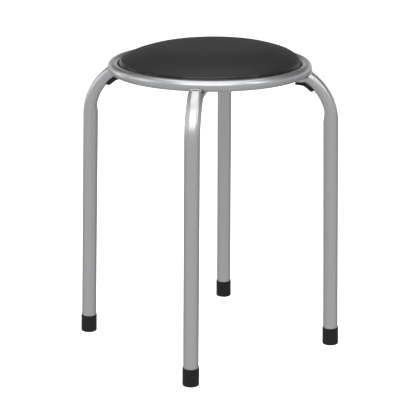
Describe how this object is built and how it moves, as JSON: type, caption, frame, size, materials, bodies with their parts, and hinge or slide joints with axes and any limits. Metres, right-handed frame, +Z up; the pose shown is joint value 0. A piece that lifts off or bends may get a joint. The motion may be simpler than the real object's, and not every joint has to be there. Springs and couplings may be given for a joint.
{
  "type": "stacking stool",
  "caption": "Round stacking stool: padded vinyl seat in a steel tube ring, on two crossed U-bent tube frames with capped feet and stacking pads under the bends.",
  "frame": {"origin": "on the floor, below the middle of the seat", "axes": "+Z up; the legs of leg_frame_side stand on the X axis and those of leg_frame_front on the Y axis, with the front leg on -Y"},
  "size_m": [0.4044, 0.4044, 0.4596],
  "materials": {
    "silver_paint": "satin",
    "vinyl": "satin",
    "foam": "matte",
    "plywood": "matte",
    "black_plastic": "satin",
    "zinc_steel": "satin"
  },
  "bodies": {
    "root": {"seat_cover": "vinyl", "seat_foam": "foam", "seat_board": "plywood", "seat_ring": "silver_paint", "leg_frame_side": "silver_paint", "leg_frame_front": "silver_paint", "foot_cap_right": "black_plastic", "stack_pad_right": "black_plastic", "seat_screw_right": "zinc_steel", "seat_nut_right": "zinc_steel", "foot_cap_rear": "black_plastic", "stack_pad_rear": "black_plastic", "seat_screw_rear": "zinc_steel", "seat_nut_rear": "zinc_steel", "foot_cap_left": "black_plastic", "stack_pad_left": "black_plastic", "seat_screw_left": "zinc_steel", "seat_nut_left": "zinc_steel", "foot_cap_front": "black_plastic", "stack_pad_front": "black_plastic", "seat_screw_front": "zinc_steel", "seat_nut_front": "zinc_steel"}
  },
  "joints": []
}
